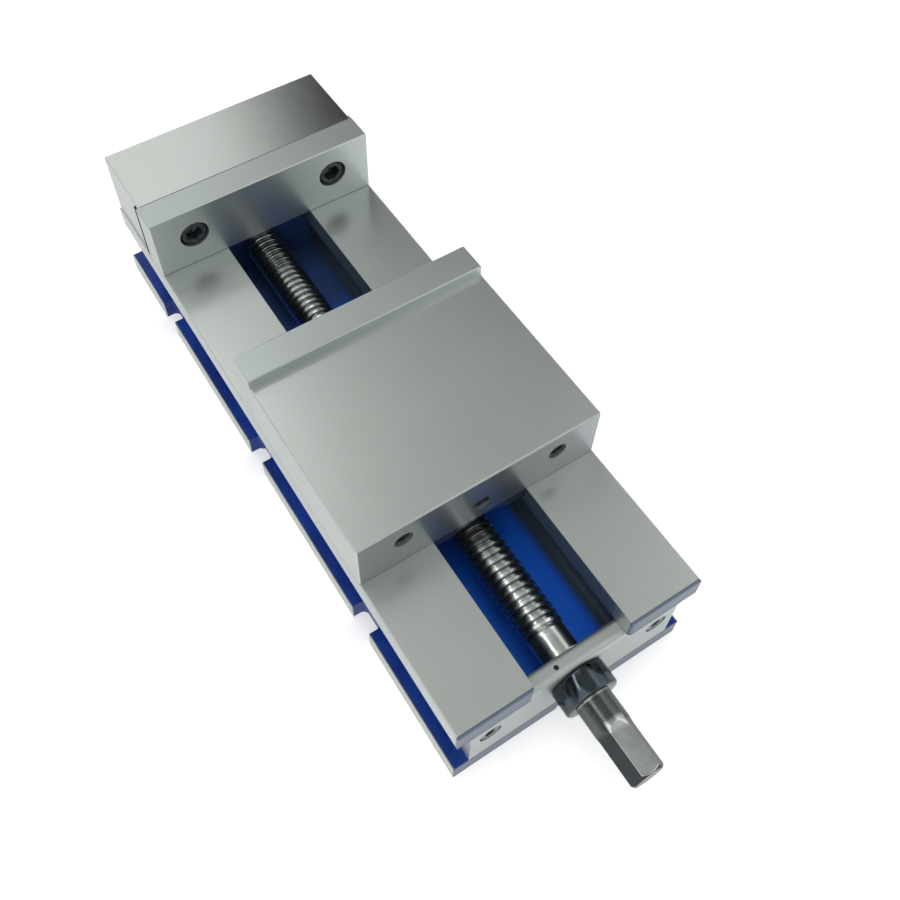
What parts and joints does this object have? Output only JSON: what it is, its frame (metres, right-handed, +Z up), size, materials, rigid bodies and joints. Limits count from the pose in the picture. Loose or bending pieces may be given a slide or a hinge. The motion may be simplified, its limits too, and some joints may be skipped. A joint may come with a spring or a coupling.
{
  "type": "precision machine vise",
  "caption": "Precision machine vise: ground rails on a notched bed, screw driven angle-locking movable jaw, screwed steel jaw plates",
  "frame": {"origin": "on the table under the fixed jaw's gripping face, in the middle plane of the vise", "axes": "+Z up, +Y from the operator's side towards the fixed jaw, +X to the right seen from the screw's hexagon"},
  "size_m": [0.16, 0.5065, 0.127],
  "materials": {
    "body_iron": "ground rails and jaw, blue painted castings elsewhere",
    "plate_steel": "ground",
    "black_screws": "black oxide",
    "jaw_iron": "ground",
    "nut_iron": "machined",
    "hardened_steel": "polished",
    "screw_steel": "turned and ground",
    "bronze": "turned",
    "collar_steel": "dark polished"
  },
  "bodies": {
    "bed": {"vise_body": "body_iron", "fixed_jaw_plate": "plate_steel", "fixed_plate_screws": "black_screws", "front_plate": "plate_steel", "front_plate_screws": "black_screws", "front_plate_dowels": "hardened_steel", "front_bush": "bronze", "thrust_bearing": "hardened_steel"},
    "carriage": {"movable_jaw": "jaw_iron", "movable_jaw_plate": "plate_steel", "movable_plate_screws": "black_screws", "jaw_nut": "nut_iron", "lock_segment": "hardened_steel", "jaw_set_screw": "black_screws"},
    "screw": {"lead_screw": "screw_steel", "tail_clip": "black_screws", "screw_collar": "collar_steel", "collar_set_screw": "black_screws"}
  },
  "joints": [
    {"name": "screw_turn", "type": "hinge", "parent": "bed", "child": "screw", "pos_m": [0, -0.35, 0.0445], "axis": [0, 1, 0], "range_deg": [-5620, 8570]},
    {"name": "jaw_slide", "type": "slide", "parent": "bed", "child": "carriage", "axis": [0, 1, 0], "range_m": [-0.078, 0.119]}
  ],
  "couplings": [
    {"joint": "screw_turn", "follows": "jaw_slide", "rad_per_m": 1256.6}
  ]
}
